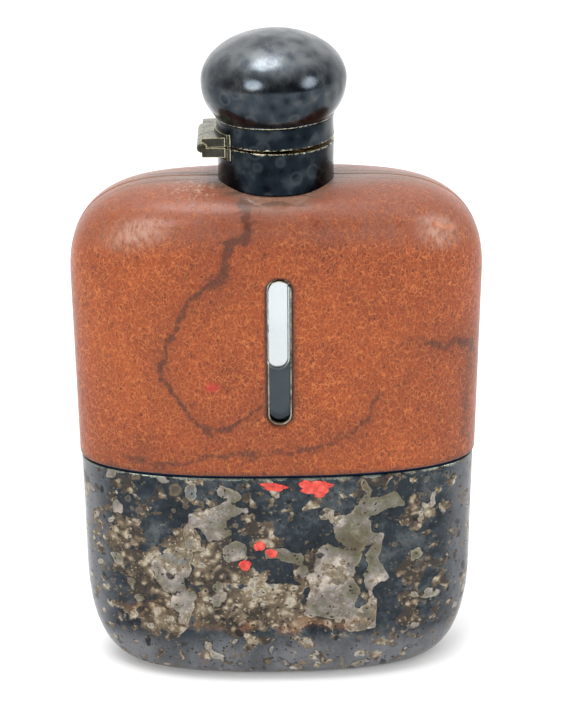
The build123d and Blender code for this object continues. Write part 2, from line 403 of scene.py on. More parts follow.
def line_distance(places, line):
    """Distance of each (x, z) place from a line of points."""
    best = np.full(len(places), 1e9)
    for start, end in zip(line[:-1], line[1:], strict=True):
        along = end - start
        share = np.clip((places - start) @ along / (along @ along), 0, 1)
        gap = np.linalg.norm(places - (start + share[:, None] * along), axis=1)
        best = np.minimum(best, gap)
    return best


# ---- material kit


def paint(red, green, blue):
    """A linear colour from the usual 0 to 255 values."""
    return tuple(((v / 255 + 0.055) / 1.055) ** 2.4 if v > 10 else v / 3295 for v in (red, green, blue))


class Nodes:
    """A node tree, with short calls for the kinds of node used here."""

    def __init__(self, tree):
        self.tree = tree

    def feed(self, socket, value):
        """Links an output or a number stored by put_values, or sets a constant on the socket itself."""
        if isinstance(value, str):
            value = self.node("ShaderNodeAttribute", {}, 2, attribute_name=value)
        if isinstance(value, bpy.types.NodeSocket):
            self.tree.links.new(value, socket)
        else:
            socket.default_value = value

    def node(self, kind, inputs, output=0, **settings):
        made = self.tree.nodes.new(kind)
        for key, value in settings.items():
            setattr(made, key, value)
        for key, value in inputs.items():
            self.feed(made.inputs[key], value)
        return made.outputs[output]

    def math(self, operation, a, b):
        return self.node("ShaderNodeMath", {0: a, 1: b}, operation=operation)

    def add(self, total, *others):
        for other in others:
            total = self.math("ADD", total, other)
        return total

    def times(self, product, *others):
        for other in others:
            product = self.math("MULTIPLY", product, other)
        return product

    def remap(self, value, low, high, to_low=0.0, to_high=1.0):
        inputs = {"Value": value, "From Min": low, "From Max": high, "To Min": to_low, "To Max": to_high}
        return self.node("ShaderNodeMapRange", inputs, interpolation_type="SMOOTHSTEP")


class Shader(Nodes):
    """One material, whose colour is laid on in steps. Colours are given as 0 to 255 values."""

    def __init__(self, name):
        self.material = bpy.data.materials.new(name)
        self.material.use_nodes = True
        super().__init__(self.material.node_tree)
        self.places = self.node("ShaderNodeTexCoord", {}, "Object")

    def stretch(self, scale, turn=(0, 0, 0), vector=None):
        """Places scaled along X, Y and Z."""
        inputs = {"Vector": vector or self.places, "Scale": scale, "Rotation": turn}
        return self.node("ShaderNodeMapping", inputs)

    def warped(self, scale, reach, detail):
        """Places pushed about by up to half of reach, so that cells lose their straight sides."""
        push = self.node("ShaderNodeTexNoise", {"Vector": self.places, "Scale": scale, "Detail": detail}, 1)
        push = self.node("ShaderNodeVectorMath", {0: push, 1: (reach, reach, reach)}, operation="MULTIPLY")
        return self.node("ShaderNodeVectorMath", {0: self.places, 1: push}, operation="ADD")

    def noise(self, scale, detail, rough=0.55, vector=None, distort=0.0):
        """Noise over some places, or over the object's own, stretched if vector is three numbers."""
        vector = self.stretch(vector) if isinstance(vector, tuple) else vector or self.places
        inputs = {"Vector": vector, "Scale": scale, "Detail": detail, "Roughness": rough}
        return self.node("ShaderNodeTexNoise", inputs | {"Distortion": distort})

    def cells(self, scale, feature="F1", output=0, vector=None):
        """Distance from the middles of random cells or, with output 1, each cell's own random value."""
        inputs = {"Vector": vector or self.places, "Scale": scale}
        return self.node("ShaderNodeTexVoronoi", inputs, output, feature=feature)

    def dots(self, vector, scale, chance, size, soft):
        """Round dots in the cells whose random value is over chance, and that random value."""
        lot = self.cells(scale, output=1, vector=vector)
        disc = self.remap(self.cells(scale, vector=vector), size, size - soft)
        return self.times(disc, self.math("GREATER_THAN", lot, chance)), lot

    def ramp(self, factor, *stops):
        """Colours between stops, each of which is (place, red, green, blue)."""
        made = self.tree.nodes.new("ShaderNodeValToRGB")
        self.feed(made.inputs[0], factor)
        elements = made.color_ramp.elements
        while len(elements) < len(stops):
            elements.new(0.5)
        for element, (place, *colour) in zip(elements, stops, strict=True):
            element.position = place
            element.color = (*paint(*colour), 1.0)
        return made.outputs[0]

    def mix(self, under, over, *shares):
        """One colour over another by the product of some shares."""
        over = (*paint(*over), 1.0) if isinstance(over, tuple) else over
        return self.node("ShaderNodeMix", {0: self.times(*shares), 6: under, 7: over}, 2, data_type="RGBA")

    def lay(self, over, *shares):
        """Lays a colour over what the material has so far."""
        self.colour = self.mix(self.colour, over, *shares)

    def bump(self, height, distance, strength):
        return self.node("ShaderNodeBump", {"Height": height, "Distance": distance, "Strength": strength})

    def finish(self, rough, **sockets):
        """Feeds the shader's own sockets, and gives the material."""
        surface = self.tree.nodes["Principled BSDF"]
        sockets.update(Base_Color=self.colour, Roughness=rough)
        for key, value in sockets.items():
            value = (*value, 1.0) if isinstance(value, tuple) else value
            self.feed(surface.inputs[key.replace("_", " ")], value)
        return self.material


# ---- leather cover

SLOT_MIDDLE = (0.4, 92.7)
SLOT_HALF_HEIGHT = 18.6
SLOT_RADIUS = 2.8
SLOT_STRAIGHT = SLOT_HALF_HEIGHT - SLOT_RADIUS
SLOT_PLAY = 0.24  # dark gap between the leather's cut edge and the edging
SLOT_SINK = 0.42  # how far the leather's face is pressed in round the slot
NICK_HEIGHT = 0.5
WALL_TOP = SHOULDER_START + 8.0
PANEL_COLUMNS = 190
WALL_ROWS = 98
SHOULDER_ROWS = 46

# The cover's lower edge, as (height over it, inset): rounded off, and pared to a thin tongue behind the cup.
LOWER_EDGE = [(-3.0, 1.25), (-2.9, 1.12), (-1.5, 1.1), (-0.02, 1.08), (0.0, 0.5), (0.12, 0.16), (0.4, 0.03)]
# How far the columns at the seam are drawn in, as a share of the leather, to round its edges off.
SEAM_ROUND = ((0, 0.2), (-1, 0.2), (1, 0.04), (-2, 0.04))

NICK = [(37.0, 123.0), (39.0, 122.0), (41.6, 121.5)]  # a raised flap of leather on the right shoulder
RED_SPOT = (-16.0, 84.0)
RUBBED = [(-33.0, 130.0, 9.0, 4.2), (38.0, 130.5, 6.0, 4.4)]  # painted highlights on the shoulders: x, z + |x| / 4, half sizes
SCUFF = (-18.0, -8.0)  # where the lid's hinge has worn the shoulder, as (x, y)
# Water marks on the front, as (x, z) knots of smooth lines, each with its width and strength; the one along
# the right edge is painted shade.
WATER_MARKS = [
    ([(-7.6, 129), (-6.4, 126), (-6.4, 122.8), (-10.8, 120.4), (-12.4, 117), (-12.2, 112.6), (-15, 110.4)],
     1.6, 1.0),
    ([(-13, 111.5), (-18.5, 108.2), (-23, 101), (-26.3, 93.4), (-27.6, 87.5), (-25.5, 81.5), (-20.5, 75),
      (-15, 72), (-9, 75), (-3.5, 80)], 0.8, 0.95),
    ([(24, 81), (20, 73), (11, 68.5), (0, 66.5), (-14, 66), (-26, 62.5), (-38, 64)], 1.15, 0.75),
    ([(31, 95.5), (34, 94), (38, 92.6)], 1.7, 0.5),
    ([(36, 93.2), (40, 92.4), (44, 92.4), (48, 89)], 1.5, 0.85),
    ([(30, 84), (27, 78), (21, 74)], 1.3, 0.4),
    ([(5, 107), (14, 108.5), (23, 104), (27, 97), (26, 88)], 1.3, 0.28),
    # Painted shade, not a water mark: darkens the front's right edge, and the mirrored place on the back.
    ([(45.5, 92), (47, 84), (46, 77), (47, 66)], 2.2, 0.6),
    ([(-12, 109), (-13, 104), (-11, 99)], 1.6, 0.3),
    ([(9, 126), (11, 119), (8, 113)], 2.0, 0.42),
]
BACK_MARKS_SHIFT = (4, 7)  # the back has the same run of water, mirrored and moved


def slot_distance(x, z):
    """Distance outside the slot's outline on the front; negative inside it."""
    beyond = np.maximum(np.abs(z - SLOT_MIDDLE[1]) - SLOT_STRAIGHT, 0)
    return np.hypot(x - SLOT_MIDDLE[0], beyond) - SLOT_RADIUS


def slot_outline(grow, count=96):
    """The slot's outline as (x, z) points, grown by grow."""
    angles = 2 * pi * (np.arange(count) + 0.5) / count
    middle = SLOT_MIDDLE[1] + np.where(np.sin(angles) > 0, SLOT_STRAIGHT, -SLOT_STRAIGHT)
    radius = SLOT_RADIUS + grow
    return np.stack([SLOT_MIDDLE[0] + radius * np.cos(angles), middle + radius * np.sin(angles)], -1)


def slot_tool(side):
    """A bar through one panel at the slot, for cutting."""
    outline = slot_outline(SLOT_PLAY)
    rings = [np.insert(outline, 1, side * depth, axis=1) for depth in (HALF_DEPTH - 4, HALF_DEPTH + 2)]
    return closed_skin("slot_tool", rings)


def panel_grid(inset, foot, angles):
    """Rows of points over one half of the form, from the cover's lower edge to the collar."""
    form = Form(inset, foot, angles)
    rows = form.wall(COVER_EDGE, form.wall_span()[1], WALL_ROWS)
    rows += form.shoulder(COLLAR_RADIUS + 0.03, SHOULDER_ROWS)
    return np.array(rows)


def edge_rows(ring, section):
    """Copies of a level ring at other heights and insets."""
    rows = []
    for height, inset in section:
        row = ring * [1 - inset / HALF_WIDTH, 1 - inset / HALF_DEPTH, 1]
        row[:, 2] = COVER_EDGE + height
        rows.append(row)
    return np.array(rows)


def make_cover(side):
    """One moulded half of the leather cover, with its slot cut out."""
    start = pi if side < 0 else 0
    angles = even_angles(PANEL_COLUMNS, start, start + pi)
    outer = panel_grid(0.0, 0.0, angles)
    inner = panel_grid(LEATHER - 0.1, GLASS_LIFT, angles)
    for column, share in SEAM_ROUND:
        outer[3:, column] += (inner[3:, column] - outer[3:, column]) * share
    outer = np.concatenate([edge_rows(outer[0], LOWER_EDGE), outer[1:]])
    inner = np.concatenate([edge_rows(inner[0], [(drop, 0.0) for drop, _ in LOWER_EDGE]), inner[1:]])
    sections = np.concatenate([outer, inner[::-1]]).swapaxes(0, 1)
    cover = closed_skin("leather_panel_front" if side < 0 else "leather_panel_back", sections)
    cover = cut(cover, slot_tool(side))
    shape_cover(cover, side)
    mark_cover(cover, side)
    return sharpen(cover, 50)


def shape_cover(cover, side):
    """Presses the leather in round its slot, and raises the nick on the front."""
    places = vertex_places(cover)
    x, z = places[:, 0], places[:, 2]
    outside = smoothstep(0.9, 0.3, depth_inside(places))
    on_wall = z < WALL_TOP
    around_slot = bell(np.maximum(slot_distance(x, z) - 0.25, 0), 0.6)
    nick = bell(line_distance(places[:, [0, 2]], curve_points(NICK, 6)), 0.5) * outside * (side < 0)
    places[:, 1] -= side * SLOT_SINK * around_slot * outside * on_wall + NICK_HEIGHT * nick
    move_vertices(cover, places)
    put_values(cover, nick=nick, slot_edge=around_slot * on_wall, flesh=(1 - outside) * on_wall)


def mark_cover(cover, side):
    """Stores where the leather is stained, soiled and scuffed, and where light and shade are painted on it.
    """
    places = vertex_places(cover)
    x, y, z = places.T
    from_neck = np.hypot(x, y)
    ridge = bell(y, 5.5) * smoothstep(TOP - 14, TOP - 2, z)
    soil = np.maximum(ridge * smoothstep(52, 24, from_neck), 0.8 * smoothstep(18.5, 14.2, from_neck))
    # Painted highlights: soft pale patches on the curve of each shoulder.
    rubbed = np.zeros(len(places))
    for patch_x, patch_z, wide, high in RUBBED:
        gap = np.hypot((x - patch_x) / wide, (z + 0.25 * np.abs(x) - patch_z) / high)
        rubbed = np.maximum(rubbed, smoothstep(1.25, 0.1, gap))
    spot = smoothstep(1.3, 0.1, np.hypot((x - RED_SPOT[0]) / 2.0, (z - RED_SPOT[1]) / 1.5)) * (side < 0)
    scuff = smoothstep(1.3, 0.2, np.hypot((x - SCUFF[0]) / 8, (y - SCUFF[1]) / 5))
    # Painted sheen: the leather greyed towards the tops of the shoulders.
    bloom = smoothstep(119, 127, z + 0.12 * np.abs(x))
    # Painted shade along the cover's lower edge, above the cup.
    low_edge = bell(np.maximum(z - COVER_EDGE, 0), 1.1)
    put_values(cover, soil=soil, rubbed=rubbed, spot=spot, scuff=scuff, bloom=bloom, low_edge=low_edge)
    stain, soak = stain_values(places, side)
    put_values(cover, stain=stain, soak=soak)


def stain_values(places, side):
    """How dark the water marks are at each place, and how soaked the leather is beside them."""
    flat = places[:, [0, 2]] + 0.65 * noise_pair(places, 5, 3) + 0.42 * noise_pair(places, 1.8, 5)
    if side > 0:
        flat = flat * [-1, 1] + BACK_MARKS_SHIFT
    stain = np.zeros(len(places))
    soak = np.zeros(len(places))
    for knots, width, strength in WATER_MARKS:
        gap = line_distance(flat, curve_points(knots, 8))
        stain = np.maximum(stain, strength * bell(gap, width))
        soak = np.maximum(soak, strength * bell(gap, 5 * width))
    return stain, soak


# ---- slot edging

# The edging's closed section, as (growth of the slot's outline, height over the leather's face).
EDGING_SECTION = [(-0.02, -1.1), (-0.02, 0.0), (-0.05, 0.09), (-0.14, 0.12), (-0.22, 0.08), (-0.25, -0.02),
                  (-0.25, -1.1)]


def make_edging(side):
    """The thin rounded edging of one slot, following the form's face."""
    rings = []
    for grow, proud in EDGING_SECTION:
        x, z = slot_outline(grow).T
        rings.append(np.stack([x, side * (face_depth(x, z) + proud), z], -1))
    edging = closed_skin("slot_edging_front" if side < 0 else "slot_edging_back", rings, lengthwise=True)
    places = vertex_places(edging)
    sunk = face_depth(places[:, 0], places[:, 2]) - np.abs(places[:, 1])
    put_values(edging, deep=smoothstep(0.0, 0.1, sunk))
    return edging


# ---- glass bottle

GLASS_COLUMNS = 160


def make_glass():
    """The hollow bottle as one closed skin, from the foot's outside to its inside."""
    angles = even_angles(GLASS_COLUMNS + 1, 0, 2 * pi)[:-1]
    outer = Form(LEATHER, GLASS_LIFT, angles)
    inner = Form(LEATHER + GLASS_WALL, GLASS_LIFT + GLASS_FOOT, angles)
    rings = outer.base(26)
    rings += outer.wall(*outer.wall_span(), 60)
    rings += outer.shoulder(NECK_RADIUS, 34)
    shoulder_top = rings[-1][:, 2].max()
    heights = np.linspace(shoulder_top + 0.6, LIP_TOP - LIP_ROUND, 5)
    rings += [circle_ring(NECK_RADIUS, z, angles) for z in heights]
    middle, reach = (NECK_RADIUS + BORE_RADIUS) / 2, (NECK_RADIUS - BORE_RADIUS) / 2
    for turn in np.linspace(0, pi, 11):
        rings.append(circle_ring(middle + reach * cos(turn), LIP_TOP - LIP_ROUND * (1 - sin(turn)), angles))
    inside = inner.shoulder(BORE_RADIUS, 30, seat=False)
    rings += [circle_ring(BORE_RADIUS, z, angles) for z in (LIP_TOP - 3, inside[-1][:, 2].max() + 0.8)]
    rings += inside[::-1]
    rings += inner.wall(*inner.wall_span(), 44)[::-1]
    rings += inner.base(22)[::-1]
    return sharpen(closed_skin("glass_flask", rings), 40)


# ---- cup

CUP_COLUMNS = 260
RIM_ROUND = 0.35

# Patches on the cup's front, as (x, z, half width, half height, strength): worn or bleached pale,
BARE_PATCHES = [
    (-18, 47, 5.5, 4.5, 1.0), (-12.5, 50.5, 4, 1.8, 0.8), (-22, 42.5, 3, 4, 0.9), (-27, 33, 5, 6.5, 1.0),
    (-24, 22, 3, 5, 0.85), (-11, 40, 2.6, 4, 0.8), (1, 37, 5, 4, 0.85), (26, 50.5, 6, 3, 1.0),
    (20, 44.5, 5.5, 5, 1.0), (24, 33, 2.8, 8, 1.0), (13, 35, 7, 6, 0.8), (14, 26, 7, 5.5, 1.0),
    (22, 18.5, 4, 4.5, 0.95), (11.8, 49.5, 2.4, 1.4, 0.9), (5.3, 25, 1.3, 2, 0.8),
]
# crusted brown,
CRUST_PATCHES = [
    (-38, 42, 6, 7, 0.55), (-36, 31, 7, 9, 0.6), (-30, 21, 9, 7, 0.7), (-16, 34, 8, 8, 0.95),
    (-14, 22, 12, 7, 1.0), (-2, 24, 9, 8, 1.0), (8, 20, 9, 4, 0.9), (-3, 44, 5, 4, 0.55),
    (33.6, 46, 2.8, 2.4, 1.0), (32, 29.5, 3.2, 3.2, 1.0), (32.5, 21, 4.5, 5.5, 0.9), (40, 30, 3, 8, 0.45),
    (8, 33, 9, 6, 0.8), (-22, 40, 8, 6, 0.7), (22, 57, 4, 2, 0.4),
]
# left dark between those,
DARK_PATCHES = [
    (0.5, 31.5, 3.2, 2.6, 1.0), (28.5, 38, 3, 5, 1.0), (28, 21, 1.9, 7, 1.0), (8, 44.5, 4, 4, 0.8),
    (-31, 43, 4, 3, 0.7),
]
# and rusty.
RUST_PATCHES = [(-8, 16.5, 14, 2.2, 0.8), (12, 17.5, 9, 2.4, 0.55), (-34, 22, 5, 3, 0.5)]
BACK_FLIP = [-1, 1, 0.93]  # the back has the same patches, mirrored, squeezed and moved
BACK_SHIFT = [5, 0, 2]

# Dabs of old red wax on the cup's front: (x, z, half width, half height, turn in degrees).
WAX_DABS = [
    (-1.2, 57.0, 3.1, 1.1, -8), (8.8, 56.8, 3.9, 1.8, 4), (10.4, 55.4, 1.9, 1.4, 30),
    (6.6, 57.8, 1.7, 0.9, 0), (-4.9, 40.4, 1.5, 1.3, 20), (-1.9, 38.3, 1.5, 1.2, -25),
    (-8.6, 34.9, 1.5, 1.5, 0),
]
WAX_COLUMNS = 40
WAX_RINGS = ((1.0, -0.12), (1.0, 0.04), (0.9, 0.2), (0.6, 0.26), (0.25, 0.24))  # share of the outline, height


def make_cup():
    """The drinking cup: one drawn shell with a rounded rim, very slightly dented all over."""
    angles = even_angles(CUP_COLUMNS + 1, 0, 2 * pi)[:-1]
    outer = Form(CUP_STEP, 0.0, angles)
    inner = Form(CUP_STEP + CUP_WALL, CUP_FLOOR, angles)
    rings = outer.base(36)
    rings += outer.wall(outer.wall_span()[0], CUP_RIM - RIM_ROUND, 64)
    outer_edge, inner_edge = outer.ring(CUP_RIM), inner.ring(CUP_RIM)
    for turn in np.linspace(0, pi, 7)[1:-1]:
        edge = outer_edge + (inner_edge - outer_edge) * (1 - cos(turn)) / 2
        edge[:, 2] = CUP_RIM - RIM_ROUND + RIM_ROUND * sin(turn)
        rings.append(edge)
    rings += inner.wall(inner.wall_span()[0], CUP_RIM - RIM_ROUND, 40)[::-1]
    rings += inner.base(30)[::-1]
    cup = closed_skin("drinking_cup", rings)
    mark_cup(cup)
    dent_cup(cup)
    return sharpen(cup, 60)


def dent_cup(cup):
    """Draws the shell in by faint dents, which fade out towards its foot."""
    places = vertex_places(cup)
    dent = 0.05 * soft_noise(places, 26, 31) + 0.018 * soft_noise(places, 7, 32)
    depth = (0.05 + dent * smoothstep(2, 10, places[:, 2])).clip(0, 0.2)
    away = outward(places, [1 / HALF_WIDTH, 1 / HALF_DEPTH, 0])
    move_vertices(cup, places - away * depth[:, None])


def patch_value(places, patches):
    """The strongest of some soft oval patches at each place on the front."""
    flat = places[:, [0, 2]] + 1.3 * noise_pair(places, 9, 11)
    value = np.zeros(len(places))
    for x, z, wide, high, strength in patches:
        gap = np.hypot((flat[:, 0] - x) / wide, (flat[:, 1] - z) / high)
        value = np.maximum(value, strength * smoothstep(1.5, 0.2, gap))
    return value


def mark_cup(cup):
    """Stores where the cup is bare, crusted, rusty and olive, where painted reflection greys its ends and
    foot, and where it is worn at its rim.
    """
    places = vertex_places(cup)
    x, y, z = places.T
    front = smoothstep(2.0, -6.0, y)
    back = smoothstep(-2.0, 6.0, y)
    turned = places * BACK_FLIP + BACK_SHIFT
    dark = 1.2 * patch_value(places, DARK_PATCHES) * front
    bare, crust = (
        patch_value(places, patches) * front + 0.8 * patch_value(turned, patches) * back - dark
        for patches in (BARE_PATCHES, CRUST_PATCHES)
    )
    rust = patch_value(places, RUST_PATCHES)
    olive = smoothstep(6, 17, x) * smoothstep(33, 40, z)
    # Painted reflection: the cup's ends and foot greyed.
    plain = np.maximum(smoothstep(40, 49, np.abs(x)), smoothstep(16, 8, z))
    rim = smoothstep(CUP_RIM - 1.6, CUP_RIM - 0.1, z)
    put_values(cup, bare=bare, crust=crust, rust=rust, olive=olive, plain=plain, rim=rim)


def make_wax():
    """Small dabs of old wax stuck to the cup's front, each a low lump with an uneven outline."""
    form = Form(CUP_STEP, 0.0, np.array([0.0]))
    points, faces = [], []
    angles = np.linspace(0, 2 * pi, WAX_COLUMNS, endpoint=False)
    for number, (x, z, wide, high, turn) in enumerate(WAX_DABS):
        c, s = cos(radians(turn)), sin(radians(turn))
        wave = 0.13 * np.sin(3 * angles + number) + 0.1 * np.sin(5 * angles + 2 * number)
        uneven = 1 + min(1, wide / 3) * wave + 0.05 * np.sin(9 * angles + number)
        for share, proud in WAX_RINGS:
            across = wide * share * uneven * np.cos(angles)
            up = high * share * uneven * np.sin(angles)
            place_x, place_z = x + across * c - up * s, z + across * s + up * c
            depth = face_depth(place_x / form.scale[0], place_z / form.scale[2]) * form.scale[1]
            points.append(np.stack([place_x, -depth - proud, place_z], -1))
        first = number * len(WAX_RINGS) * WAX_COLUMNS
        faces += skin_faces(len(WAX_RINGS), WAX_COLUMNS, True, offset=first)
        faces += end_faces(first, first + (len(WAX_RINGS) - 1) * WAX_COLUMNS, WAX_COLUMNS)
    return sharpen(tidy_normals(new_object("wax_dabs", np.concatenate(points), faces)), 70)


# ---- neck, ring and cap

BEAD = 0.13  # the small swellings beside the lid's split
BEAD_OFFSET = 0.32
BEAD_WIDTH = 0.28
SPLIT_WEAR = 0.42  # reach of the bare metal beside the split


def rounded_wall(outer, inner, low, high, edge=0.18, steps=4):
    """The closed profile of a tube wall with rounded corners."""
    corners = [(outer - edge, low + edge), (outer - edge, high - edge), (inner + edge, high - edge),
               (inner + edge, low + edge)]
    profile = []
    for quarter, (radius, height) in enumerate(corners):
        for step in range(steps + 1):
            angle = -pi / 2 + pi / 2 * (quarter + step / steps)
            profile.append((radius + edge * cos(angle), height + edge * sin(angle)))
    return profile


def fill_wall(profile, spacing=0.6):
    """The same profile with points added on its long runs, so that it can carry dents and wear."""
    filled = []
    for start, end in zip(profile, profile[1:] + profile[:1], strict=True):
        filled += list(np.linspace(start, end, max(1, round(dist(start, end) / spacing)), endpoint=False))
    return filled


def beaded_tube(low, high, bead):
    """The profile of a tube of the collar's size, swollen on its outside at the bead's height."""
    profile = fill_wall(rounded_wall(COLLAR_RADIUS, COLLAR_RADIUS - COLLAR_WALL, low, high))
    face = COLLAR_RADIUS - 0.05
    return [(r + BEAD * bell(z - bead, BEAD_WIDTH) if r > face else r, z) for r, z in profile]


def make_turned(name, profile, segments=192, dents=0.02, seed=41, edges=()):
    """A turned piece with faint dents; edges are (height, reach) of its worn edges."""
    angles = np.linspace(0, 2 * pi, segments, endpoint=False)
    piece = closed_skin(name, [circle_ring(r, z, angles) for r, z in profile], lengthwise=True)
    places = vertex_places(piece)
    depth = dents - dents * soft_noise(places, 6, seed)
    move_vertices(piece, places - outward(places, [1, 1, 0]) * depth[:, None])
    edge = np.zeros(len(places))
    for height, reach in edges:
        edge = np.maximum(edge, bell(places[:, 2] - height, reach))
    # Greyer and rougher towards the bun's top, by height.
    dull = smoothstep(EQUATOR - 1, CAP_TOP - 3, places[:, 2] + 0.8 * soft_noise(places, 9, seed + 5))
    put_values(piece, edge=edge, dull=dull)
    return sharpen(piece, 45)


def make_collar():
    profile = beaded_tube(COLLAR_FOOT, COLLAR_TOP, COLLAR_TOP - BEAD_OFFSET)
    edges = ((COLLAR_TOP, SPLIT_WEAR), (COLLAR_FOOT + 0.62, 0.13))
    return make_turned("collar_tube", profile, edges=edges, seed=42)


def make_ring():
    profile = beaded_tube(RING_FOOT, RING_TOP, RING_FOOT + BEAD_OFFSET)
    return ajar(make_turned("ring_tube", profile, edges=((RING_FOOT, SPLIT_WEAR),), seed=43))


def make_base():
    profile = fill_wall(rounded_wall(BASE_RADIUS, BASE_BORE, CAP_FOOT, CAP_FOOT + BASE_HEIGHT, 0.2))
    return ajar(make_turned("bun_base", profile, edges=((CAP_FOOT + 0.12, 0.2),), dents=0.01, seed=44))


def dome_profile(inset, count):
    """The bun's half section from its level cut up to its top."""
    floor = CAP_FOOT + BASE_HEIGHT
    angles = np.linspace(-np.arcsin((EQUATOR - floor) / (LOWER_HEIGHT - inset)), pi / 2, count)
    height = np.where(angles < 0, LOWER_HEIGHT, CAP_TOP - EQUATOR) - inset
    section = zip((CAP_RADIUS - inset) * np.cos(angles), EQUATOR + height * np.sin(angles), strict=True)
    return [*section][:-1] + [(0.0, CAP_TOP - inset)]


def make_dome():
    profile = dome_profile(0, 74) + dome_profile(CAP_WALL, 40)[::-1]
    return ajar(make_turned("bun_dome", profile, segments=200, dents=0.035, seed=45))


def make_cork():
    """The cork disc, printed by the glass lip and crumbled at its edge."""
    rises = [  # (radius, rise over the cork's foot)
        (0.0, 0.0), (BORE_RADIUS - 1.2, -0.02), (BORE_RADIUS - 0.2, 0.12), (BORE_RADIUS + 0.5, 0.3),
        (CORK_RADIUS - 0.5, 0.3), (CORK_RADIUS - 0.1, 0.65), (CORK_RADIUS, 1.2),
    ]
    profile = [(radius, CORK_FOOT + rise) for radius, rise in rises]
    profile += [(CORK_RADIUS, CORK_TOP), (0.0, CORK_TOP)]
    return ajar(make_turned("cork_disc", fill_wall(profile, 0.45), segments=140, dents=0.05, seed=46))


# ---- materials


def leather_grain():
    """Tan morocco: fine pale veins over darker hollows, with water marks, soil, and painted sheen and
    highlights on the shoulders.
    """
    s = Shader("leather_grain")
    grain = s.stretch((1.0, 1.0, 0.6), (0, 0.3, 0), s.warped(480, 0.0026, 3))
    fine = s.noise(2600, 3, 0.7, (1, 1, 0.5))
    cloud = s.noise(120, 4, 0.6)
    veins = s.remap(s.cells(1000, "DISTANCE_TO_EDGE", vector=grain), 0.13, 0.0)
    veins = s.times(veins, s.remap(s.noise(620, 4, 0.7), 0.36, 0.64, 0.1, 1.0))
    fibres = s.remap(s.cells(2000, "DISTANCE_TO_EDGE", vector=grain), 0.2, 0.0)
    hollows = s.remap(s.noise(1150, 2, 0.5, grain), 0.56, 0.68)
    creases = s.times(s.remap(s.noise(760, 2, vector=(0.04, 1.0, 0.04)), 0.54, 0.62), "soil")
    s.colour = s.ramp(s.noise(34, 4, 0.6), (0.32, 102, 36, 7), (0.5, 132, 53, 10), (0.7, 144, 65, 16))
    s.lay((104, 43, 14), s.remap(cloud, 0.35, 0.75, 0.0, 0.5))
    s.lay((76, 28, 7), hollows, 0.8)
    s.lay((184, 92, 40), fibres, s.remap(fine, 0.35, 0.66, 0.15, 0.6))
    s.lay((210, 124, 60), veins, 0.64)
    lay_stains(s)
    lay_wear(s, creases)
    s.lay((178, 30, 40), "spot", s.remap(cloud, 0.35, 0.6, 0.3, 0.9))
    # The leather's inner side: dark, with a blue tint that is painted reflection.
    s.lay((10, 34, 62), "flesh")
    relief = s.add(s.times(veins, 0.8), s.times(hollows, -0.8), s.times(fine, 0.3), s.times(creases, -0.8))
    relief = s.times(relief, s.remap("flesh", 0.0, 1.0, 1.0, 0.0))
    rough = s.remap(s.add(s.times(hollows, 0.3), cloud), 0.2, 1.0, 0.34, 0.54)
    return s.finish(
        rough, Normal=s.bump(relief, 0.0001, 0.9), Specular_IOR_Level=0.15, Coat_Weight=0.4,
        Coat_Roughness=0.29, Sheen_Weight=0.05, Sheen_Roughness=0.45, Sheen_Tint=(0.86, 0.8, 0.86),
    )


def lay_stains(s):
    """Painted sheen on the shoulders' tops, and water marks with ragged borders and soaked leather beside
    them.
    """
    # Painted sheen, greying the tops of the shoulders.
    s.lay((128, 84, 70), "bloom", s.remap(s.noise(420, 4, 0.65, (1, 1, 0.3)), 0.3, 0.6, 0.55, 1.0), 0.62)
    s.lay((96, 42, 20), "soak", 0.34)
    ragged = s.add("stain", s.remap(s.noise(800, 4, 0.7), 0.25, 0.75, -0.25, 0.25))
    s.lay((52, 26, 18), s.remap(ragged, 0.25, 0.9), s.remap("stain", 0.05, 0.25), 0.66)


def lay_wear(s, creases):
    """Soil along the shoulders' ridge, scuffed places, painted highlights on the shoulders and the nick, and
    painted shade round the slot and along the lower edge.
    """
    s.lay((112, 98, 84), "soil", s.remap(s.noise(420, 4, 0.65, (0.3, 1, 1)), 0.2, 0.55, 0.3, 1.0), 0.72)
    s.lay((56, 44, 36), creases, 0.7)
    # Painted highlights on the shoulders, broken up by fine noise.
    s.lay((206, 168, 148), "rubbed", s.remap(s.noise(900, 4, 0.7, (1, 1, 0.5)), 0.36, 0.62, 0.15, 1.0), 0.5)
    s.lay((206, 180, 150), "scuff", s.remap(s.noise(900, 4, 0.75), 0.52, 0.62), 0.6)
    # Painted highlight on the raised nick.
    s.lay((190, 116, 80), "nick", 0.6)
    # Painted shade in the pressed-in leather round the slot.
    s.lay((44, 22, 16), "slot_edge", 0.85)
    # Painted shade along the lower edge, broken up by noise.
    s.lay((58, 32, 22), "low_edge", s.remap(s.noise(300, 3), 0.25, 0.6, 0.4, 1.0), 0.72)


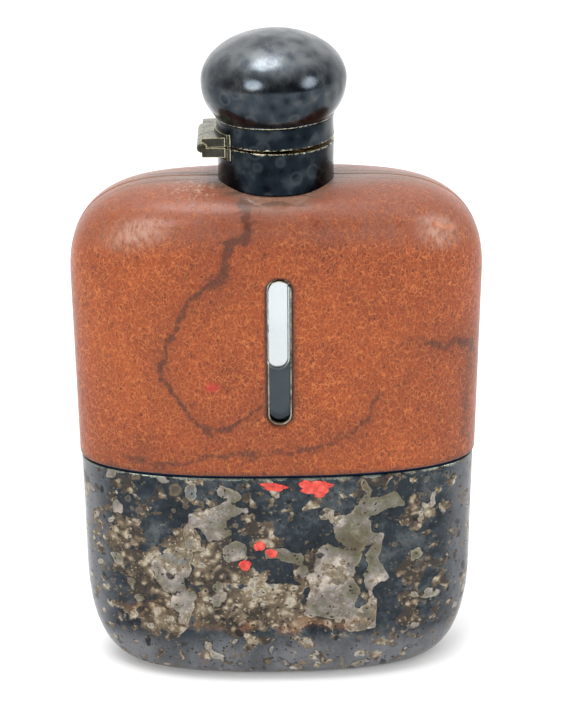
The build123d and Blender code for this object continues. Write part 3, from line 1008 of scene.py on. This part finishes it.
def tarnished(name, deep, light, pale, roughness, mottling):
    """Silver plate gone dark: soft blotches, pale rings, fine scratches, and bare metal at worn edges."""
    s = Shader(name)
    cloud = s.noise(150, 4, 0.6, distort=0.4)
    fine = s.noise(900, 4, 0.6)
    tone = s.add(s.times(s.cells(330, "SMOOTH_F1"), 0.55), s.times(cloud, 0.7))
    spots = s.cells(210)
    ring = s.times(s.remap(spots, 0.2, 0.3), s.remap(spots, 0.42, 0.32))
    streaks = s.add(s.times(tone, 0.6), s.times(s.noise(420, 3, 0.6, (1, 1, 0.14)), 0.4))
    wear = s.remap(s.add("edge", s.remap(s.noise(850, 4, 0.75), 0.25, 0.75, -0.75, 0.3)), 0.4, 0.75)
    s.colour = s.ramp(tone, (0.35, *deep), (0.62, *light), (0.9, *pale))
    s.lay(pale, ring, 0.35 * mottling)
    s.lay((88, 72, 50), s.remap(fine, 0.6, 0.8, 0.0, 0.35 * mottling))
    # Greyer towards the top of the bun.
    s.lay((122, 126, 129), "dull", s.remap(streaks, 0.42, 0.72, 0.25, 0.65))
    s.lay((176, 170, 146), wear)
    scratch = s.noise(2400, 2, vector=s.stretch((1, 1, 0.06), (0.3, 0.5, 0.2)))
    rough = s.remap(s.add(s.times(cloud, 0.7), s.times(scratch, 0.3)), 0.3, 0.75, *roughness)
    rough = s.add(rough, s.times(wear, 0.12), s.times("dull", 0.07))
    relief = s.add(s.times(fine, 0.4), s.times(ring, 0.3))
    return s.finish(rough, Metallic=1.0, Normal=s.bump(relief, 0.00003, 0.5))


def cup_plate():
    """The cup: near-black tarnish with round spots, a brown crust, and patches worn or bleached pale."""
    s = Shader("cup_plate")
    bent = s.warped(240, 0.0035, 3)
    cloud = s.noise(95, 5, 0.62, distort=0.3)
    fine = s.noise(560, 5, 0.68)
    hue = s.noise(70, 5, 0.72)
    small = s.add(s.cells(980, "SMOOTH_F1", vector=bent), 0.12)
    bubbles = s.math("MINIMUM", s.cells(430, "SMOOTH_F1", vector=bent), small)
    tone = s.add(s.times(cloud, 0.65), s.times(fine, 0.35))
    s.colour = s.ramp(tone, (0.36, 30, 35, 40), (0.5, 47, 54, 59), (0.66, 86, 91, 94))
    # Painted reflection on the cup's ends and foot.
    s.lay((118, 119, 123), "plain", s.remap(s.noise(110, 4, 0.6, (1, 1, 0.4)), 0.3, 0.65, 0.4, 0.9))
    lay_spots(s, bent)
    crusted = lay_crust(s, bent, bubbles, fine, hue)
    worn = lay_bare(s, bent, bubbles, fine, hue, cloud)
    s.lay((150, 98, 62), "rust", s.remap(hue, 0.42, 0.6, 0.0, 0.75))
    lay_pits(s, bent)
    specks = s.remap(s.noise(1700, 4, 0.7), 0.56, 0.66)
    s.lay((42, 38, 36), specks, 0.6)
    rim = s.add("rim", s.remap(s.noise(240, 4, 0.7), 0.25, 0.75, -0.75, 0.35))
    s.lay((126, 132, 122), s.remap(rim, 0.58, 0.8, 0.0, 0.8))
    rough = s.remap(s.add(s.times(worn, 0.35), s.times(crusted, 0.3), fine), 0.35, 1.2, 0.2, 0.5)
    relief = s.add(s.times(worn, 0.5), s.times(specks, -0.4), s.times(crusted, bubbles, -0.8))
    return s.finish(rough, Metallic=0.92, Normal=s.bump(relief, 0.00006, 0.6))


def lay_spots(s, bent):
    """Round spots of three sizes, whose tone comes from each cell's own random value."""
    for scale, chance, size in ((170, 0.66, 0.34), (330, 0.6, 0.32), (720, 0.55, 0.26)):
        disc, lot = s.dots(bent, scale, chance, size, 0.1)
        tone = s.ramp(lot, (0.5, 66, 62, 62), (0.7, 98, 86, 70), (0.85, 78, 82, 88), (1.0, 124, 116, 104))
        s.lay(tone, disc, 0.5)
        s.lay((134, 116, 90), disc, s.remap(s.cells(scale, vector=bent), size - 0.2, size - 0.1), 0.35)


def lay_crust(s, bent, bubbles, fine, hue):
    """Brown crust: crowded bubbles of two sizes, dark between them, some with a dark eye."""
    tone = s.add(s.times(hue, 0.72), s.times(s.remap(bubbles, 0.5, 0.1), 0.2))
    crust = s.ramp(
        tone, (0.34, 66, 60, 55), (0.41, 114, 100, 82), (0.48, 150, 136, 114), (0.55, 190, 180, 160),
        (0.66, 132, 134, 130),
    )
    crust = s.mix(crust, (44, 36, 32), s.dots(bent, 430, 0.6, 0.16, 0.08)[0], 0.7)
    crust = s.mix(crust, (78, 64, 52), s.remap(fine, 0.48, 0.74, 0.0, 0.6))
    blobs = s.remap(s.cells(300, "SMOOTH_F1", vector=bent), 0.6, 0.1, -0.3, 0.34)
    patchy = s.remap(s.noise(260, 4, 0.6, bent), 0.25, 0.75, -0.5, 0.4)
    crusted = s.remap(s.add("crust", blobs, patchy), -0.02, 0.2)
    s.lay(crust, crusted, 0.88)
    return crusted


def lay_bare(s, bent, bubbles, fine, hue, cloud):
    """Pale patches with smooth blobby borders, a thin light outline and a dark line outside it."""
    pale = s.ramp(
        s.add(hue, s.times("olive", -0.07)), (0.32, 98, 90, 70), (0.42, 126, 126, 108), (0.48, 164, 158, 156),
        (0.53, 212, 202, 190), (0.58, 148, 134, 108), (0.66, 126, 136, 142),
    )
    pale = s.mix(pale, (96, 88, 76), s.remap(fine, 0.35, 0.7, 0.0, 0.6))
    pale = s.mix(pale, (100, 88, 70), s.remap(bubbles, 0.3, 0.5, 0.0, 0.45))
    blobs = s.remap(s.cells(210, "SMOOTH_F1", vector=bent), 0.62, 0.1, -0.34, 0.36)
    patchy = s.remap(s.noise(130, 3, 0.5, bent), 0.25, 0.75, -0.5, 0.2)
    bare = s.add(s.times("bare", 1.4), blobs, patchy, -0.12)
    worn = s.remap(s.add(bare, s.remap(fine, 0.3, 0.7, -0.07, 0.07)), 0.04, 0.2)
    outline = s.times(s.remap(bare, 0.07, 0.12), s.remap(bare, 0.26, 0.15))
    s.lay((34, 32, 32), s.remap(bare, -0.06, 0.05), s.remap(bare, 0.11, 0.07), 0.55)
    s.lay(pale, worn, 0.82)
    s.lay((180, 172, 152), outline, s.remap(cloud, 0.4, 0.6, 0.0, 0.4))
    return worn


def lay_pits(s, bent):
    """Dark pits of two sizes, and small pale dots."""
    s.lay((34, 36, 40), s.dots(bent, 240, 0.72, 0.3, 0.05)[0], 0.85)
    s.lay((38, 34, 32), s.dots(bent, 820, 0.7, 0.3, 0.05)[0], 0.8)
    s.lay((150, 152, 148), s.dots(bent, 430, 0.84, 0.14, 0.05)[0], 0.7)


def clear_glass():
    s = Shader("old_glass")
    smear = s.noise(90, 3, 0.5, (1, 1, 0.4))
    waves = s.bump(s.noise(60, 1, vector=(1, 1, 0.25)), 0.00006, 0.4)
    s.colour = s.ramp(smear, (0.3, 229, 232, 233), (0.7, 222, 226, 228))
    return s.finish(s.remap(smear, 0.3, 0.8, 0.0, 0.06), Normal=waves, IOR=1.5, Transmission_Weight=1.0,
                    Specular_Tint=(0.72, 0.88, 1.0))


def aged_brass():
    s = Shader("aged_brass")
    cloud = s.noise(260, 4, 0.6)
    fine = s.noise(1800, 3, 0.6, (1, 1, 0.2))
    s.colour = s.ramp(cloud, (0.3, 72, 60, 40), (0.5, 122, 102, 66), (0.72, 164, 142, 98))
    s.lay((58, 48, 34), s.remap(fine, 0.5, 0.75, 0.0, 0.4))
    rough = s.remap(cloud, 0.3, 0.7, 0.42, 0.24)
    return s.finish(rough, Metallic=1.0, Normal=s.bump(fine, 0.00003, 0.5))


def cork_grain():
    s = Shader("cork_grain")
    cells = s.cells(1100, "DISTANCE_TO_EDGE")
    cloud = s.noise(300, 4, 0.65)
    pits = s.remap(s.noise(520, 3, 0.7, (1, 1, 0.4)), 0.6, 0.7)
    s.colour = s.ramp(cloud, (0.3, 128, 84, 48), (0.55, 172, 124, 78), (0.75, 196, 152, 104))
    s.lay((96, 58, 32), s.remap(cells, 0.1, 0.0, 0.0, 0.4))
    s.lay((52, 30, 18), pits, 0.85)
    relief = s.add(s.times(pits, -1.0), s.times(cells, 0.5))
    return s.finish(s.remap(cloud, 0.3, 0.7, 0.7, 0.92), Normal=s.bump(relief, 0.00015, 0.8))


def plaster():
    s = Shader("neck_plaster")
    grit = s.noise(2200, 3, 0.7)
    cloud = s.noise(200, 5, 0.65)
    s.colour = s.ramp(cloud, (0.3, 176, 164, 140), (0.55, 206, 198, 178), (0.75, 222, 216, 200))
    s.lay((132, 116, 92), s.remap(grit, 0.55, 0.75, 0.0, 0.5))
    return s.finish(s.remap(grit, 0.3, 0.7, 0.78, 0.95), Normal=s.bump(grit, 0.0001, 0.7))


def red_wax():
    s = Shader("red_wax")
    crust = s.noise(2000, 4, 0.7)
    s.colour = s.ramp(s.noise(600, 4, 0.6), (0.3, 150, 40, 34), (0.5, 206, 62, 50), (0.72, 226, 104, 86))
    s.lay((96, 36, 32), s.remap(crust, 0.6, 0.75, 0.0, 0.6))
    return s.finish(s.remap(crust, 0.3, 0.7, 0.45, 0.7), Normal=s.bump(crust, 0.00012, 0.8))


def hinge_plate():
    """The hinge's plate: grey-green above, with painted shade darkening its upright faces, and edges worn
    bright.
    """
    s = Shader("hinge_plate")
    fine = s.noise(1600, 4, 0.65)
    rounded = s.node("ShaderNodeBevel", {"Radius": 0.00036}, samples=6)
    flat = s.node("ShaderNodeNewGeometry", {}, "Normal")
    along = s.node("ShaderNodeVectorMath", {0: rounded, 1: flat}, "Value", operation="DOT_PRODUCT")
    wear = s.add(s.remap(along, 0.995, 0.88), s.remap(s.noise(700, 4, 0.75), 0.3, 0.7, -0.45, 0.3))
    level = s.node("ShaderNodeSeparateXYZ", {"Vector": flat}, "Z")
    s.colour = s.ramp(s.noise(380, 4, 0.6), (0.3, 58, 60, 50), (0.5, 100, 100, 84), (0.72, 134, 130, 108))
    # Painted shade: faces turned away from upwards are darkened.
    s.lay((44, 44, 42), s.remap(level, 0.7, 0.3, 0.0, 0.85))
    s.lay((50, 46, 38), s.remap(fine, 0.56, 0.7, 0.0, 0.6))
    s.lay((196, 188, 154), s.remap(wear, 0.3, 0.75))
    rough = s.remap(fine, 0.3, 0.7, 0.2, 0.4)
    return s.finish(rough, Metallic=1.0, Normal=s.bump(fine, 0.00003, 0.6))


def slot_edging():
    s = Shader("slot_edging")
    cloud = s.noise(500, 4, 0.65)
    s.colour = s.ramp(cloud, (0.35, 86, 74, 56), (0.5, 166, 156, 132), (0.65, 206, 200, 182))
    # Painted shade on the edging's faces that lie below the leather's face.
    s.lay((20, 22, 26), "deep")
    rough = s.add(s.remap(cloud, 0.3, 0.7, 0.45, 0.28), s.times("deep", 0.4))
    return s.finish(rough, Metallic=1.0, Normal=s.bump(cloud, 0.00003, 0.5))


# ---- the flask

HINGE_NODES = ("collar_saddle", "lower_hinge_leaf", "hinge_pin", "ring_saddle", "upper_hinge_leaf")
BRASS_NODES = (
    "bayonet_flange", "ring_bearing_plate", "bayonet_barrel", "bayonet_lugs", "barrel_retainer", "cork_plate",
)


def wear_material(obj, material):
    obj.data.materials.clear()
    obj.data.materials.append(material)


def stand_in(piece, body, material, node):
    """Puts a finished piece in the place of a CAD node."""
    wear_material(piece, material)
    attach(piece, body)
    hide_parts(node)


def soften(obj, width):
    """Rounds a CAD node's edges; its faces are joined first, because they come in apart."""
    weld = obj.modifiers.new("weld", "WELD")
    weld.merge_threshold = 1e-6
    bevel = obj.modifiers.new("bevel", "BEVEL")
    bevel.width = width * MM
    bevel.segments = 3
    bevel.limit_method = "ANGLE"
    bevel.angle_limit = radians(35)


def carry_over(names, material, bevel=0.0):
    """CAD nodes whose shape is right keep it, with a material of their own."""
    for name in names:
        node = frame["nodes"][name]
        for place in node.material_slots:
            place.material = material
        if bevel:
            soften(node, bevel)


def build_flask():
    leather = leather_grain()
    stand_in(make_cover(-1), "bottle", leather, "leather_front")
    stand_in(make_cover(1), "bottle", leather, "leather_back")
    edging = slot_edging()
    stand_in(make_edging(-1), "bottle", edging, "slot_bezel_front")
    stand_in(make_edging(1), "bottle", edging, "slot_bezel_back")
    stand_in(make_glass(), "bottle", clear_glass(), "glass_bottle")
    stand_in(make_cup(), "cup", cup_plate(), "cup_shell")
    wax = make_wax()
    wear_material(wax, red_wax())
    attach(wax, "cup")
    neck = tarnished("neck_plate", (12, 16, 21), (27, 34, 40), (62, 69, 73), (0.12, 0.34), 1.0)
    stand_in(make_collar(), "bottle", neck, "neck_collar")
    stand_in(make_ring(), "ring", neck, "hinged_ring")
    bun = tarnished("bun_plate", (28, 34, 42), (54, 61, 68), (98, 98, 96), (0.13, 0.36), 0.7)
    stand_in(make_dome(), "cap", bun, "cap_dome")
    stand_in(make_base(), "cap", bun, "cap_base_plate")
    stand_in(make_cork(), "cap", cork_grain(), "cork_seal")
    carry_over(HINGE_NODES, hinge_plate(), 0.12)
    carry_over(BRASS_NODES, aged_brass(), 0.1)
    carry_over(("neck_cement",), plaster())


# ---- floor, light and camera

FLOOR_REACH = 3000.0
FLASK_MIDDLE = (0, 0, 0.09)  # metres, what the lights look at
SHADE, GLOW = 0.12, 1.65  # the studio's darkest and brightest

CAMERA_TARGET = Vector((0.9935, 0.0, 83.19)) * MM
CAMERA_DISTANCE = 436.1 * MM
CAMERA_ELEVATION = radians(23.69)
CAMERA_AZIMUTH = radians(-0.93)
CAMERA_ROLL = radians(0.3)
FOCAL_LENGTH = 87.5


def make_floor():
    corners = [(x * FLOOR_REACH, y * FLOOR_REACH, 0) for x, y in ((-1, -1), (1, -1), (1, 1), (-1, 1))]
    floor = new_object("studio_floor", corners, [(0, 1, 2, 3)])
    s = Shader("floor_white")
    s.colour = s.ramp(s.noise(3.0, 2), (0.3, 218, 218, 218), (0.7, 222, 222, 222))
    wear_material(floor, s.finish(0.9, Specular_IOR_Level=0.1, Emission_Color=(1.0, 1.0, 1.0),
                                  Emission_Strength=0.12))


def make_world():
    """A pale studio: bright above and behind, dark low on the camera's side, even white as a backdrop."""
    world = bpy.data.worlds.new("studio")
    bpy.context.scene.world = world
    world.use_nodes = True
    n = Nodes(world.node_tree)
    direction = {"Vector": n.node("ShaderNodeTexCoord", {}, "Generated")}
    behind = n.remap(n.node("ShaderNodeSeparateXYZ", direction, "Y"), -0.6, 1.2)
    overhead = n.remap(n.node("ShaderNodeSeparateXYZ", direction, "Z"), 0.4, 0.95)
    strength = n.add(n.times(n.math("MAXIMUM", behind, overhead), GLOW - SHADE), SHADE)
    strength = n.math("MAXIMUM", strength, n.node("ShaderNodeLightPath", {}, "Is Camera Ray"))
    background = n.tree.nodes["Background"]
    n.feed(background.inputs["Strength"], strength)
    n.feed(background.inputs["Color"], (1, 1, 1, 1))


def add_softbox(name, place, size, power):
    """A round soft light that looks at the flask."""
    light = bpy.data.lights.new(name, "AREA")
    light.shape = "DISK"
    light.size = size
    light.energy = power
    lamp = bpy.data.objects.new(name, light)
    bpy.context.scene.collection.objects.link(lamp)
    lamp.location = place
    lamp.rotation_euler = (Vector(FLASK_MIDDLE) - Vector(place)).to_track_quat("-Z", "Y").to_euler()


def make_lights():
    add_softbox("overhead", (-0.36, -0.3, 2.35), 1.25, 30.0)
    add_softbox("low_left", (-1.14, -1.6, 0.95), 0.95, 17.5)
    add_softbox("low_right", (1.74, -1.0, 0.85), 0.95, 17.5)


def make_camera():
    lens = bpy.data.cameras.new("view")
    lens.lens = FOCAL_LENGTH
    lens.clip_start = 0.01
    camera = bpy.data.objects.new("view", lens)
    bpy.context.scene.collection.objects.link(camera)
    camera.matrix_world = (
        Matrix.Translation(CAMERA_TARGET) @ Matrix.Rotation(CAMERA_AZIMUTH, 4, "Z")
        @ Matrix.Rotation(pi / 2 - CAMERA_ELEVATION, 4, "X") @ Matrix.Rotation(-CAMERA_ROLL, 4, "Z")
        @ Matrix.Translation((0, 0, CAMERA_DISTANCE))
    )
    bpy.context.scene.camera = camera


build_flask()
make_floor()
make_world()
make_lights()
make_camera()
bpy.context.scene.view_settings.view_transform = "Standard"
